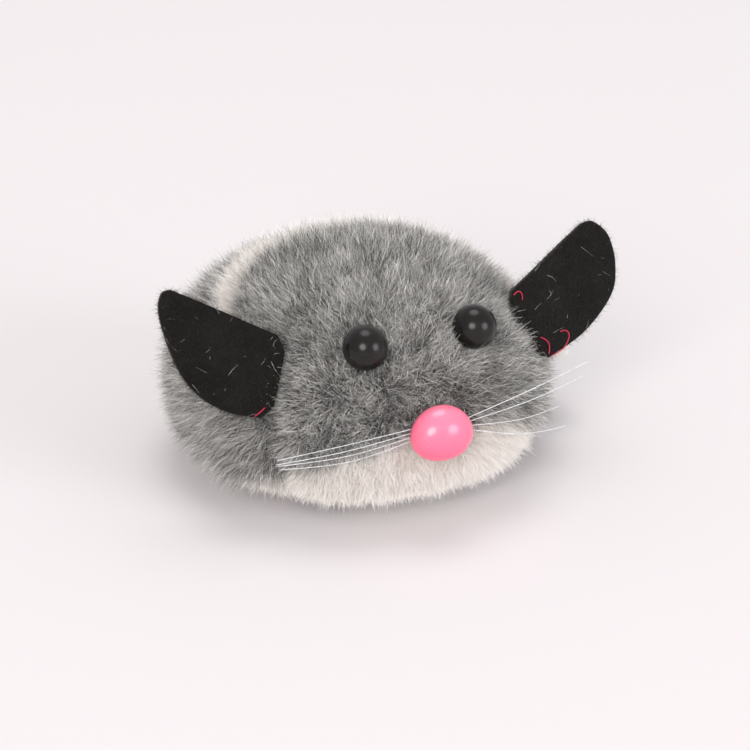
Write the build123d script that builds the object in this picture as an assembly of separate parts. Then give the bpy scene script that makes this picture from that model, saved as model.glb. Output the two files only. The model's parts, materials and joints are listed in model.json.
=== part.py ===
"""Clockwork mouse: a plush mouse on two wheels and a roller, with a spring motor inside.

Millimetres. The mouse stands on z = 0, looks along -Y, and its left side is +X.
Every arbor of the motor lies along X, so arbor places are (y, z) pairs.
"""

import math
import os

from build123d import *

# ---------------------------------------------------------------- plush cover
FLOOR_GAP = 0.6             # pile of the belly above the floor
PILE = 5.5                  # thickness of backing and pile together
BELLY_FLOOR = 2.5           # top of the flattened belly cloth under the motor
PLAN_POINTS = 20            # points on each level curve of a lobe
CAP = 0.3                   # width of a lobe's flat top, as a share of its full width
BODY = dict(centre=(3.2, 17.2), radii=(34.0, 32.4, 23.9, 32.3), plan=2.3, side=2.0)
HEAD = dict(centre=(-8.3, 16.2), radii=(30.1, 23.6, 23.8, 24.2), plan=2.25, side=1.93)

# Seams as lines of (y, z) corners, seen from the side
BELLY_SEAM = [(60.0, 4.8), (-10.0, 4.8), (-25.0, 11.8), (-34.0, 20.5)]
HEAD_SEAM = [(-16.5, 0.0), (-20.3, 12.0), (-20.0, 20.0), (-13.8, 33.5), (-6.0, 44.0)]
STRIPE_SLOPE, STRIPE_TOP, STRIPE_LOW = 0.3, 35.6, 28.5   # z of the two edges at y = 0

# ---------------------------------------------------------------- face
EYE_R, EYE_PLACE = 4.0, (10.4, -23.9, 33.4)
NOSE_PLACE, NOSE_RADII = (0.0, -31.8, 18.6), (5.6, 4.0, 4.8)
STEM_R, STEM_L, STEM_SUNK = 1.1, 6.0, 0.5
WASHER_R, WASHER_T = 3.2, 0.8
WASHER_UP = 1.2             # middle of a washer from the free end of its stem
EYE_BACK, NOSE_BACK = 0.6, 0.45   # flat backs behind the middle, as shares of a radius
WHISKER_R, WHISKER_ROOT, WHISKER_STEP = 0.15, (6.2, -31.2, 20.0), 0.75
WHISKER_TIPS = dict(
    left=[(29.5, -28.5, 24.6), (29.0, -28.0, 21.8), (25.0, -27.0, 16.4), (26.5, -27.0, 12.3)],
    right=[(-27.6, -26.0, 16.9), (-27.9, -26.3, 16.0), (-27.4, -25.8, 15.1), (-27.1, -26.0, 14.2)],
)
EAR_T, EAR_TUCK = 1.4, 3.0  # felt thickness, and how far the ear goes into the seam
EAR_TOP, EAR_LOW, EAR_TIP = (22.2, -13.8, 33.5), (27.3, -18.3, 21.4), (40.8, -8.8, 42.3)
# Free edge of the ear, as (outwards, down) from the top of its root
EAR_EDGE = [(20.3, -3.0), (21.4, 0.8), (20.0, 6.0), (16.2, 10.6), (8.5, 13.9), (0.0, 13.9)]

# ---------------------------------------------------------------- motor case
CASE_X = 11.6
CASE_Y, CASE_Z = (-22.5, 16.5), (2.8, 24.4)
WALL = 1.0
CASE_ROUND = 1.5
CASE_GAP = 0.35             # between the case and the wadding
BOSS_R, SCREW_R, SCREW_HEAD_R, SCREW_HEAD_T = 1.7, 0.8, 1.5, 0.9
BOSSES = [(-20.0, 5.2), (-20.0, 21.8), (14.1, 21.9), (14.1, 5.3)]
SCREW_END = 8.0             # x at which the screws end in the left half
RUNNING = 0.04              # radial clearance of a shaft in its bearing
ARBOR_X = (-CASE_X + 0.2, CASE_X - 0.2)
FAR = 60.0                  # beyond everything

# ---------------------------------------------------------------- gear train
MODULE, BACKLASH = 0.4, 0.13
GREAT_TEETH, WHEEL_TEETH, PINION_TEETH = 40, 30, 10
SHORT, LONG = (WHEEL_TEETH + PINION_TEETH) * MODULE / 2, (GREAT_TEETH + PINION_TEETH) * MODULE / 2
WHEEL_R = 6.5
BARREL_AT = (6.5, 13.4)


def along(start, distance, degrees):
    """The (y, z) place at a distance and direction from another."""
    turn = math.radians(degrees)
    return (start[0] + distance * math.cos(turn), start[1] + distance * math.sin(turn))


SECOND_AT = along(BARREL_AT, LONG, 189.3)
DRIVE_AT = (SECOND_AT[0] - math.sqrt(SHORT**2 - (SECOND_AT[1] - WHEEL_R) ** 2), WHEEL_R)
THIRD_AT = along(SECOND_AT, SHORT, 143.0)
FLY_AT = along(THIRD_AT, SHORT, 221.0)

GREAT_X, SECOND_X, THIRD_X = (1.0, 2.4), (-2.6, -1.2), (-6.4, -5.2)
PINION_A, PINION_B, PINION_C = (0.6, 2.8), (-3.0, -0.8), (-6.8, -4.8)
DRUM_X, LID_X, RATCHET_X = (2.4, 8.3), (8.3, 9.1), (9.4, 10.3)
DRUM_R, DRUM_WALL = 6.9, 0.6
ARBOR_R, HUB_R, ARBOR_END = 1.2, 1.7, 35.5
THIN_R, AXLE_R = 0.7, 0.8
SPOKES = (1.6, 4.6, 5)      # hub and rim radii of the lightening holes, and their number
SPRING_T, SPRING_X, SPRING_TURNS = 0.22, (2.7, 8.0), 6
RATCHET_TEETH, RATCHET_R, RATCHET_DEPTH = 12, 4.2, 0.9
CLICK_PIVOT = along(BARREL_AT, 8.6, 128.0)
CLICK_PIN_R = 0.6
CLICK_GAP = 0.12            # the click is drawn lifted just clear of the ratchet's tips
FLY_R, FLY_X, FLY_T = 5.2, (-9.9, -7.4), 0.5

# ---------------------------------------------------------------- wheels and key
WHEEL_X = (12.3, 15.9)
TYRE_T = 1.1
ROLLER_R, ROLLER_HALF = 5.0, 2.7
ROLLER_AT = (CASE_Y[1] + ROLLER_R + 0.6, ROLLER_R)
LUG_X, LUG_R = (3.1, 5.1), 2.0
WHEEL_ROOM, ROLLER_ROOM = 0.8, 0.7   # between the soft parts and what turns
SQUARE = 1.7                # across flats of the arbor's winding end
KEY_X, KEY_HUB_R = (31.8, 36.6), 2.4
WING_X, WING_REACH, WING_T, WING_HOLE_R, WING_HOLE_AT = (34.9, 42.0), 8.5, 1.8, 1.3, 4.6
EYELET = dict(inner=3.0, outer=3.6, flange=5.0, lip=0.7, x=(27.6, 30.8))

os.makedirs("parts", exist_ok=True)
MADE = {}


def keep(name, shape):
    """Stores a finished sub-part under its node name."""
    MADE[name] = shape
    return shape


def side_plane(x):
    """A plane across the shafts at x, whose local axes are the object's Y and Z."""
    return Plane(origin=(x, 0, 0), x_dir=(0, 1, 0), z_dir=(1, 0, 0))


def shaft(place, radius, x):
    """A round bar along X, from x[0] to x[1], at a (y, z) place."""
    return extrude(side_plane(x[0]) * Pos(*place) * Circle(radius), x[1] - x[0])


def block(x, y, z):
    """A box given by its three ranges."""
    return Pos((x[0] + x[1]) / 2, (y[0] + y[1]) / 2, (z[0] + z[1]) / 2) * Box(
        x[1] - x[0], y[1] - y[0], z[1] - z[0]
    )


def slab(outline, half=FAR):
    """A prism right across the mouse from a list of (y, z) corners."""
    return extrude(side_plane(-half) * make_face(Polyline(*outline, close=True)), 2 * half)


# ---------------------------------------------------------------- cover shapes
def lobe(shape, inset, floor):
    """A rounded lump of the cover: level curves of one family, lofted upwards."""
    (yc, zc), (rx, ry, up, down) = shape["centre"], shape["radii"]
    rx, ry, up = rx - inset, ry - inset, up - inset
    plan, side = shape["plan"], shape["side"]
    top = zc + up * (1 - CAP**side) ** (1 / side)
    levels = [floor] + [floor + (top - floor) * math.sin(math.radians(15 * i)) for i in range(1, 7)]
    wires = []
    for z in levels:
        reach = (z - zc) / up if z > zc else (zc - z) / down
        size = (1 - min(1.0, abs(reach)) ** side) ** (1 / side)
        points = []
        for k in range(PLAN_POINTS):
            turn = 2 * math.pi * (k + 0.5) / PLAN_POINTS
            c, s = math.cos(turn), math.sin(turn)
            points.append((
                rx * size * math.copysign(abs(c) ** (2 / plan), c),
                yc + ry * size * math.copysign(abs(s) ** (2 / plan), s),
                z,
            ))
        wires.append(Wire([Spline(*points, periodic=True)]))
    return Solid.make_loft(wires)


def cover():
    """The whole plush cover: outer lump less inner hollow, and the hollow itself."""
    outer = lobe(BODY, 0, FLOOR_GAP) + lobe(HEAD, 0, FLOOR_GAP)
    inner = lobe(BODY, PILE, BELLY_FLOOR) + lobe(HEAD, PILE, BELLY_FLOOR)
    return outer - inner, inner


def ear(sign):
    """One felt ear: straight upper edge, blunt tip, full curved lower edge."""
    top, low, tip = (Vector(sign * p[0], p[1], p[2]) for p in (EAR_TOP, EAR_LOW, EAR_TIP))
    down = (low - top).normalized()
    outwards = ((tip - top) - down * (tip - top).dot(down)).normalized()
    felt = Plane(origin=top, x_dir=outwards, z_dir=outwards.cross(down))
    root = [EAR_EDGE[-1], (-EAR_TUCK, EAR_EDGE[-1][1]), (-EAR_TUCK, 0), (0, 0), EAR_EDGE[0]]
    outline = make_face([Polyline(*root), Spline(*EAR_EDGE)])
    return extrude(felt * outline, EAR_T / 2, both=True)


def facing(place, direction):
    """A plane at a place whose normal is a direction."""
    return Plane(origin=place, z_dir=direction)


def outward(shape, place):
    """The outward direction of a lobe at a place."""
    (yc, zc), (rx, ry, up, _) = shape["centre"], shape["radii"]
    return Vector(place[0] / rx**2, (place[1] - yc) / ry**2, (place[2] - zc) / up**2).normalized()


def eye(sign):
    """A bead eye on its stem, and the locking washer behind the cloth."""
    place = (sign * EYE_PLACE[0], *EYE_PLACE[1:])
    plane = facing(place, outward(HEAD, place))
    back = EYE_BACK * EYE_R
    bead = plane * Sphere(EYE_R) - plane * Pos(0, 0, -back - EYE_R) * Box(*[2 * EYE_R] * 3)
    stem = plane * Pos(0, 0, -back - STEM_L / 2 + STEM_SUNK) * Cylinder(STEM_R, STEM_L)
    depth = -back - STEM_L + WASHER_UP
    washer = plane * Pos(0, 0, depth) * Cylinder(WASHER_R, WASHER_T)
    washer -= plane * Pos(0, 0, depth) * Cylinder(STEM_R, 2 * WASHER_T)
    return bead + stem, washer


def nose():
    """An egg-shaped plastic nose on its stem, and its washer."""
    tilt = Plane(origin=NOSE_PLACE, x_dir=(1, 0, 0), z_dir=(0, -1, 0.12))
    egg = scale(Sphere(1), by=(NOSE_RADII[0], NOSE_RADII[2], NOSE_RADII[1]))
    back = NOSE_BACK * NOSE_RADII[1]
    wide = 2 * max(NOSE_RADII)
    egg -= Pos(0, 0, -back - wide / 2) * Box(wide, wide, wide)
    stem = Pos(0, 0, -back - STEM_L / 2 + STEM_SUNK) * Cylinder(STEM_R, STEM_L)
    depth = -back - STEM_L + WASHER_UP
    washer = Pos(0, 0, depth) * Cylinder(WASHER_R, WASHER_T)
    washer -= Pos(0, 0, depth) * Cylinder(STEM_R, 2 * WASHER_T)
    return tilt * (egg + stem), tilt * washer


def whiskers(side, sign):
    """Four stiff nylon bristles that fan out from beside the nose."""
    x, y, z = WHISKER_ROOT
    strands = []
    for k, tip in enumerate(WHISKER_TIPS[side]):
        start = Vector(sign * x, y, z - WHISKER_STEP * k)
        way = Vector(*tip) - start
        bar = Pos(0, 0, way.length / 2) * Cylinder(WHISKER_R, way.length)
        strands.append(facing(start, way.normalized()) * bar)
    return Compound(children=strands)


# ---------------------------------------------------------------- gears
def tooth_outline(teeth, addendum):
    """Corner points of a gear with involute flanks drawn as two chords each."""
    pitch_r = MODULE * teeth / 2
    base_r = pitch_r * math.cos(math.radians(20))
    radii = [pitch_r - 1.25 * MODULE, pitch_r, pitch_r + addendum * MODULE]

    def involute(r):
        angle = math.acos(min(1.0, base_r / max(r, base_r)))
        return math.tan(angle) - angle

    half = (math.pi * MODULE / 2 - BACKLASH) / (2 * pitch_r)
    flank = [(r, half + involute(pitch_r) - involute(r)) for r in radii]
    points = []
    for k in range(teeth):
        mid = 2 * math.pi * k / teeth
        for r, a in [(r, -a) for r, a in flank] + flank[::-1]:
            points.append((r * math.cos(mid + a), r * math.sin(mid + a)))
    return points


def gear(place, teeth, x, phase, bore, addendum=0.85):
    """A toothed wheel along X, turned by a phase in radians."""
    face = make_face(Polyline(*tooth_outline(teeth, addendum), close=True)) - Circle(bore)
    flat = Pos(*place) * Rot(0, 0, math.degrees(phase)) * face
    return extrude(side_plane(x[0]) * flat, x[1] - x[0])


def direction(a, b):
    """The angle of the way from one place to another, in radians."""
    return math.atan2(b[1] - a[1], b[0] - a[0])


def meshed(phase, teeth, a, b, teeth_b):
    """The phase of the gear at b that meshes with a gear of a known phase at a."""
    way = direction(a, b)
    return way + math.pi - (phase - way) * teeth / teeth_b + math.pi / teeth_b


def spokes(wheel, place, x, hub, rim, count):
    """Cuts round lightening holes in a wheel."""
    for k in range(count):
        wheel -= shaft(along(place, (hub + rim) / 2, 360 * k / count + 18), (rim - hub) / 2, x)
    return wheel


def gear_train():
    great_phase = direction(BARREL_AT, SECOND_AT)
    second_phase = direction(SECOND_AT, DRIVE_AT)
    third_phase = direction(THIRD_AT, FLY_AT)

    great = gear(BARREL_AT, GREAT_TEETH, GREAT_X, great_phase, HUB_R + RUNNING)
    drum = shaft(BARREL_AT, DRUM_R, DRUM_X) - shaft(BARREL_AT, DRUM_R - DRUM_WALL, DRUM_X)
    keep("spring_barrel", great + drum)
    keep("barrel_lid", shaft(BARREL_AT, DRUM_R, LID_X) - shaft(BARREL_AT, HUB_R + RUNNING, LID_X))
    keep("mainspring", mainspring())

    keep("second_arbor", shaft(SECOND_AT, THIN_R, ARBOR_X))
    phase = meshed(great_phase, GREAT_TEETH, BARREL_AT, SECOND_AT, PINION_TEETH)
    keep("second_pinion", gear(SECOND_AT, PINION_TEETH, PINION_A, phase, THIN_R))
    wheel = gear(SECOND_AT, WHEEL_TEETH, SECOND_X, second_phase, THIN_R)
    keep("second_wheel", spokes(wheel, SECOND_AT, SECOND_X, *SPOKES))

    phase = meshed(second_phase, WHEEL_TEETH, SECOND_AT, DRIVE_AT, PINION_TEETH)
    keep("drive_pinion", gear(DRIVE_AT, PINION_TEETH, PINION_B, phase, AXLE_R))

    keep("third_arbor", shaft(THIRD_AT, THIN_R, ARBOR_X))
    phase = meshed(second_phase, WHEEL_TEETH, SECOND_AT, THIRD_AT, PINION_TEETH)
    keep("third_pinion", gear(THIRD_AT, PINION_TEETH, PINION_B, phase, THIN_R))
    wheel = gear(THIRD_AT, WHEEL_TEETH, THIRD_X, third_phase, THIN_R)
    keep("third_wheel", spokes(wheel, THIRD_AT, THIRD_X, *SPOKES))

    phase = meshed(third_phase, WHEEL_TEETH, THIRD_AT, FLY_AT, PINION_TEETH)
    keep("fly_pinion", gear(FLY_AT, PINION_TEETH, PINION_C, phase, THIN_R))
    keep("fly_arbor", shaft(FLY_AT, THIN_R, ARBOR_X))
    y, z = FLY_AT
    vane = block(FLY_X, (y - FLY_R, y + FLY_R), (z - FLY_T / 2, z + FLY_T / 2))
    vane += shaft(FLY_AT, 1.5, FLY_X)
    keep("fly_vane", vane - shaft(FLY_AT, THIN_R, FLY_X))


def mainspring():
    """A flat steel strip wound from the arbor out to the drum wall."""
    start, end = HUB_R + 0.25, DRUM_R - DRUM_WALL - 0.15
    steps = 10 * SPRING_TURNS

    def coil(offset):
        points = []
        for k in range(steps + 1):
            r = start + (end - start - SPRING_T) * k / steps + offset
            points.append(along(BARREL_AT, r, 36.0 * k))
        return Spline(*points)

    inside, outside = coil(0), coil(SPRING_T)
    strip = make_face([
        inside, outside,
        Line(inside @ 0, outside @ 0),
        Line(inside @ 1, outside @ 1),
    ])
    return extrude(side_plane(SPRING_X[0]) * strip, SPRING_X[1] - SPRING_X[0])


def winding():
    """Arbor, ratchet wheel and click."""
    arbor = shaft(BARREL_AT, ARBOR_R, (ARBOR_X[0], ARBOR_END - 4.0))
    arbor += shaft(BARREL_AT, HUB_R, (GREAT_X[0] - 0.4, LID_X[1] + 0.2))
    y, z = BARREL_AT
    half = SQUARE / 2
    arbor += block((ARBOR_END - 5.0, ARBOR_END), (y - half, y + half), (z - half, z + half))
    keep("winding_arbor", arbor)

    points = []
    for k in range(RATCHET_TEETH):
        step = 360 / RATCHET_TEETH
        points.append(along((0, 0), RATCHET_R, k * step + 8))
        points.append(along((0, 0), RATCHET_R - RATCHET_DEPTH, k * step + 10.5))
    flat = make_face(Polyline(*points, close=True)) - Circle(ARBOR_R)
    ratchet = extrude(side_plane(RATCHET_X[0]) * Pos(*BARREL_AT) * flat, RATCHET_X[1] - RATCHET_X[0])
    keep("ratchet_wheel", ratchet)

    nose_at = along(BARREL_AT, RATCHET_R + CLICK_GAP, 101.0)
    py, pz = CLICK_PIVOT
    body = Polyline((py - 1.0, pz - 0.9), (nose_at[0] - 0.6, nose_at[1] + 1.1), nose_at,
                    (nose_at[0] + 0.5, nose_at[1] + 1.5), (py + 1.0, pz + 1.0), close=True)
    flat = make_face(body) + Pos(py, pz) * Circle(1.5)
    click = extrude(side_plane(RATCHET_X[0]) * flat, RATCHET_X[1] - RATCHET_X[0])
    keep("click", click - shaft(CLICK_PIVOT, CLICK_PIN_R + RUNNING, RATCHET_X))
    pin = shaft(CLICK_PIVOT, CLICK_PIN_R, (RATCHET_X[0] - 0.3, CASE_X - WALL))
    keep("click_pin", pin + shaft(CLICK_PIVOT, 1.1, (RATCHET_X[0] - 0.8, RATCHET_X[0] - 0.1)))
    keep("click_spring", click_spring(nose_at))


def click_spring(nose_at):
    """A leaf on a post of the case, bent down over the click's nose."""
    post = along(nose_at, 5.2, 8.0)
    y, z = post
    post_x = (RATCHET_X[0], CASE_X - WALL)
    leaf = Polyline((y, z + 0.5), (nose_at[0] - 0.2, nose_at[1] + 2.6),
                    (nose_at[0] - 0.2, nose_at[1] + 2.35), (y, z + 0.2), close=True)
    strip = extrude(side_plane(RATCHET_X[0] + 0.15) * make_face(leaf), 0.6)
    return shaft(post, 0.7, post_x) + strip


# ---------------------------------------------------------------- case
def case_half(sign):
    """Half of the moulded motor case, with screw bosses, bearings and one roller lug."""
    x = (0.0, CASE_X) if sign > 0 else (-CASE_X, 0.0)
    hollow_x = (0.0, CASE_X - WALL) if sign > 0 else (-CASE_X + WALL, 0.0)
    whole = block((-CASE_X, CASE_X), CASE_Y, CASE_Z)
    whole = fillet(whole.edges(), CASE_ROUND)
    hollow = block(
        (-CASE_X + WALL, CASE_X - WALL),
        (CASE_Y[0] + WALL, CASE_Y[1] - WALL),
        (CASE_Z[0] + WALL, CASE_Z[1] - WALL),
    )
    half = (whole - hollow) & block(x, (-FAR, FAR), (-FAR, FAR))
    for place in BOSSES:
        half += shaft(place, BOSS_R, hollow_x)
    lug_x = LUG_X if sign > 0 else (-LUG_X[1], -LUG_X[0])
    y, z = ROLLER_AT
    lug = block(lug_x, (CASE_Y[1] - 0.5, y), (z - LUG_R, z + LUG_R)) + shaft(ROLLER_AT, LUG_R, lug_x)
    half += lug
    far = (-CASE_X - 1, CASE_X + 1)
    for place, radius in ((SECOND_AT, THIN_R), (THIRD_AT, THIN_R), (FLY_AT, THIN_R),
                          (BARREL_AT, ARBOR_R), (DRIVE_AT, AXLE_R), (ROLLER_AT, AXLE_R)):
        half -= shaft(place, radius + RUNNING, far)
    for place in BOSSES:
        half -= shaft(place, SCREW_R, (-CASE_X - 1, SCREW_END + 0.3))
        half -= shaft(place, SCREW_HEAD_R + 0.1, (-CASE_X - 1, -CASE_X + SCREW_HEAD_T))
    return half


def case_screws():
    """Four pan-head screws that clamp the case halves."""
    screws = []
    for place in BOSSES:
        head = shaft(place, SCREW_HEAD_R, (-CASE_X + 0.1, -CASE_X + SCREW_HEAD_T))
        y, z = place
        slot = block((-CASE_X, -CASE_X + 0.45), (y - 2, y + 2), (z - 0.2, z + 0.2))
        cross = block((-CASE_X, -CASE_X + 0.45), (y - 0.2, y + 0.2), (z - 2, z + 2))
        body = shaft(place, SCREW_R, (-CASE_X + SCREW_HEAD_T, SCREW_END))
        screws.append(head + body - slot - cross)
    return Compound(children=screws)


# ---------------------------------------------------------------- running gear
def road_wheel(sign):
    """A drive wheel and its rubber tyre."""
    x = WHEEL_X if sign > 0 else (-WHEEL_X[1], -WHEEL_X[0])
    rim_r = WHEEL_R - TYRE_T
    wheel = shaft(DRIVE_AT, rim_r, x) - shaft(DRIVE_AT, AXLE_R, x)
    face = (x[1] - 1.1, x[1]) if sign > 0 else (x[0], x[0] + 1.1)
    wheel -= shaft(DRIVE_AT, rim_r - 0.9, face) - shaft(DRIVE_AT, 1.9, face)
    tyre = shaft(DRIVE_AT, WHEEL_R, x) - shaft(DRIVE_AT, rim_r, x)
    tyre = chamfer(tyre.edges().filter_by(GeomType.CIRCLE).sort_by(SortBy.RADIUS)[-2:], 0.35)
    return wheel, tyre


def winding_key():
    """A two-winged key on the arbor's square."""
    y, z = BARREL_AT
    half = SQUARE / 2 + 0.02
    length, middle = WING_X[1] - WING_X[0], sum(WING_X) / 2
    plate = RectangleRounded(length, 2 * WING_REACH, length / 2 - 0.3)
    for hole in (-WING_HOLE_AT, WING_HOLE_AT):
        plate -= Pos(0, hole) * Circle(WING_HOLE_R)
    flat = Plane(origin=(middle, y, z - WING_T / 2), x_dir=(1, 0, 0), z_dir=(0, 0, 1))
    key = extrude(flat * plate, WING_T) + shaft(BARREL_AT, KEY_HUB_R, KEY_X)
    return key - block((KEY_X[0] - 1, ARBOR_END + 0.3), (y - half, y + half), (z - half, z + half))


def running_gear():
    for side, sign in (("left", 1), ("right", -1)):
        wheel, tyre = road_wheel(sign)
        keep(f"{side}_wheel", wheel)
        keep(f"{side}_tyre", tyre)
    keep("drive_axle", shaft(DRIVE_AT, AXLE_R, (-WHEEL_X[1] - 0.3, WHEEL_X[1] + 0.3)))
    keep("winding_key", winding_key())
    pin_x = (-LUG_X[1] - 0.4, LUG_X[1] + 0.4)
    keep("roller_pin", shaft(ROLLER_AT, AXLE_R, pin_x))
    roller_x = (-ROLLER_HALF, ROLLER_HALF)
    roller = fillet(shaft(ROLLER_AT, ROLLER_R, roller_x).edges(), 0.8)
    keep("rear_roller", roller - shaft(ROLLER_AT, AXLE_R, roller_x))


def case_room(bottom):
    """The motor case with a little room around it, from a given height upwards."""
    gap = CASE_GAP
    return block((-CASE_X - gap, CASE_X + gap), (CASE_Y[0] - gap, CASE_Y[1] + gap),
                 (bottom, CASE_Z[1] + gap))


def motor_space():
    """Everything that the wadding has to stay clear of."""
    space = case_room(0)
    for sign in (1, -1):
        x = sorted((sign * (CASE_X - 1), sign * (WHEEL_X[1] + WHEEL_ROOM)))
        reach = WHEEL_R + WHEEL_ROOM
        space += shaft(DRIVE_AT, reach, x)
        y, _ = DRIVE_AT
        space += block(x, (y - reach, y + reach), (-1, WHEEL_R))
    y, z = ROLLER_AT
    reach, half = ROLLER_R + ROLLER_ROOM, LUG_X[1] + 1.1
    space += block((-half, half), (CASE_Y[1], y + reach), (-1, z + reach))
    space += shaft(BARREL_AT, EYELET["outer"], (0, FAR))
    return space


def wheel_slots():
    """The openings in the belly cloth for the three wheels."""
    y, _ = DRIVE_AT
    reach, top = WHEEL_R + WHEEL_ROOM, BELLY_FLOOR + 1.5
    near, far = WHEEL_X[0] - 0.6, WHEEL_X[1] + WHEEL_ROOM
    cut = block((-far, -near), (y - reach, y + reach), (-1, top))
    cut += block((near, far), (y - reach, y + reach), (-1, top))
    y, z = ROLLER_AT
    reach, half = ROLLER_R + ROLLER_ROOM, ROLLER_HALF + 0.8
    return cut + block((-half, half), (y - reach, y + reach), (-1, z + reach))


def key_eyelet():
    """A plastic ring that lines the key's hole in the cover."""
    start, rim = EYELET["x"]
    ring = shaft(BARREL_AT, EYELET["outer"], EYELET["x"])
    ring += shaft(BARREL_AT, EYELET["flange"], (rim, rim + EYELET["lip"]))
    return ring - shaft(BARREL_AT, EYELET["inner"], (start - 1, rim + 2))


def fittings():
    """The pieces that are fixed through the cover, which the soft parts make room for."""
    made = {"key_eyelet": key_eyelet()}
    made["nose"], made["nose_washer"] = nose()
    for side, sign in (("left", 1), ("right", -1)):
        made[f"{side}_ear"] = ear(sign)
        made[f"{side}_eye"], made[f"{side}_eye_washer"] = eye(sign)
        made[f"{side}_whiskers"] = whiskers(side, sign)
    return made


def panels(shell):
    """Cuts the cover along its seams into the sewn panels."""
    white = slab(BELLY_SEAM + [(-FAR, BELLY_SEAM[-1][1]), (-FAR, -10), (FAR, -10)])
    keep("belly_panel", shell & white)
    grey = shell - white
    ahead = slab([(-FAR, 0)] + HEAD_SEAM + [(-FAR, HEAD_SEAM[-1][1])])
    keep("head_panel", grey & ahead)
    behind = grey - ahead

    def above(z):
        """Everything over a stripe edge that meets y = 0 at height z."""
        rise = FAR * STRIPE_SLOPE
        return slab([(-FAR, z - rise), (FAR, z + rise), (FAR, 2 * FAR), (-FAR, 2 * FAR)])

    keep("crown_panel", behind & above(STRIPE_TOP))
    keep("stripe_panel", (behind & above(STRIPE_LOW)) - above(STRIPE_TOP))
    keep("rump_panel", behind - above(STRIPE_LOW))


def soft_parts():
    shell, hollow = cover()
    fixed = fittings()
    rim = EYELET["x"][1]
    shell -= wheel_slots() + case_room(BELLY_FLOOR)
    shell -= shaft(BARREL_AT, EYELET["outer"], (EYELET["x"][0] - 1, rim))
    shell -= shaft(BARREL_AT, EYELET["flange"] + 0.1, (rim, rim + 10))
    hollow -= motor_space()
    for name, shape in fixed.items():
        keep(name, shape)
        shell -= shape
        hollow -= shape
    panels(shell)
    split = CASE_Y[0] - CASE_GAP
    keep("head_stuffing", hollow & block((-FAR, FAR), (-FAR, split), (-FAR, FAR)))
    keep("body_wadding", hollow & block((-FAR, FAR), (split, FAR), (-FAR, FAR)))


def main():
    keep("case_left", case_half(1))
    keep("case_right", case_half(-1))
    keep("case_screws", case_screws())
    gear_train()
    winding()
    running_gear()
    soft_parts()
    for name, shape in MADE.items():
        export_step(shape, f"parts/{name}.step")


main()
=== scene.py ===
"""Clockwork mouse: the plush cover, face and fittings around the motor, in metres.

The file is laid out as an add-on and is run as a script. Shapes are worked out in
millimetres and become metres when a mesh is made.
"""

import json
import math

import bmesh
import bpy
import numpy as np
from bpy.props import FloatProperty, FloatVectorProperty, IntProperty, PointerProperty
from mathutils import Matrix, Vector


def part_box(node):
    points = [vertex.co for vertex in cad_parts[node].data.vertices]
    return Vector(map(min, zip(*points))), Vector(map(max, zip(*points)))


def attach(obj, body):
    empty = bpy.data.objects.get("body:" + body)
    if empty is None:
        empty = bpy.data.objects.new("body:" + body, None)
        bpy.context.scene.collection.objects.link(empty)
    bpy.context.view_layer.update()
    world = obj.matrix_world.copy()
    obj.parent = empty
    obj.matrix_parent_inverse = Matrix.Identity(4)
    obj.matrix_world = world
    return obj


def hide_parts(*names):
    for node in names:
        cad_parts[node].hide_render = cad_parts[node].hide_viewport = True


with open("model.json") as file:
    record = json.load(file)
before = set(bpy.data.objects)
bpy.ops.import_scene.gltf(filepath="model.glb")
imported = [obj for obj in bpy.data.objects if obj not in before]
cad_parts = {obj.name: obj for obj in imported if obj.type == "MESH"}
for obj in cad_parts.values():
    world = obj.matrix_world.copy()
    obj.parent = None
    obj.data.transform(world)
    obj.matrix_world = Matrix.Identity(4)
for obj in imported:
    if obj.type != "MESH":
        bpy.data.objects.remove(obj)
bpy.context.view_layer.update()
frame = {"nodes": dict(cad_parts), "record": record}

bl_info = {
    "name": "Clockwork Mouse",
    "version": (1, 0, 0),
    "blender": (4, 5, 0),
    "location": "3D View > Sidebar > Mouse",
    "description": "Builds a plush wind-up mouse around its motor",
    "category": "Object",
}

MM = 0.001


def corners(node):
    """The two corners of a node's box, in millimetres."""
    low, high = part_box(node)
    return np.array(low) / MM, np.array(high) / MM


# ------------------------------------------------------------------ shape of the cover
# Two rounded lumps. Each is (y, z) of its middle, its radii, and how square it is.
BODY = dict(middle=(3.2, 17.2), radii=(34.0, 32.4, 23.9, 32.3), plan=2.3, side=2.0)
HEAD = dict(middle=(-8.3, 16.2), radii=(30.1, 23.6, 23.8, 24.2), plan=2.25, side=1.93)
CORE = np.array([0.0, -3.0, 13.0])      # every ray from here meets the cover once
BLEND = 40.0                            # higher is a sharper furrow between the lumps
FURROW_DEPTH, FURROW_HALF = 2.2, 1.9    # the seam behind the cheeks pulls the cloth in
ROWS, COLUMNS = 130, 260
BELLY_SEAM = [(60.0, 4.8), (-10.0, 4.8), (-25.0, 11.8), (-34.0, 20.5)]
HEAD_SEAM = [(-16.5, 0.0), (-20.3, 12.0), (-20.0, 20.0), (-13.8, 33.5), (-6.0, 44.0)]
STRIPE_SLOPE, STRIPE_TOP, STRIPE_LOW = 0.385, 33.6, 29.9

WHEEL_GAP, KEY_OPENING = 0.8, 5.2       # cloth kept clear of the wheels and of the key
EYE_BARE, NOSE_BARE = 3.4, 4.0          # no pile grows under the eyes and the nose

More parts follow.
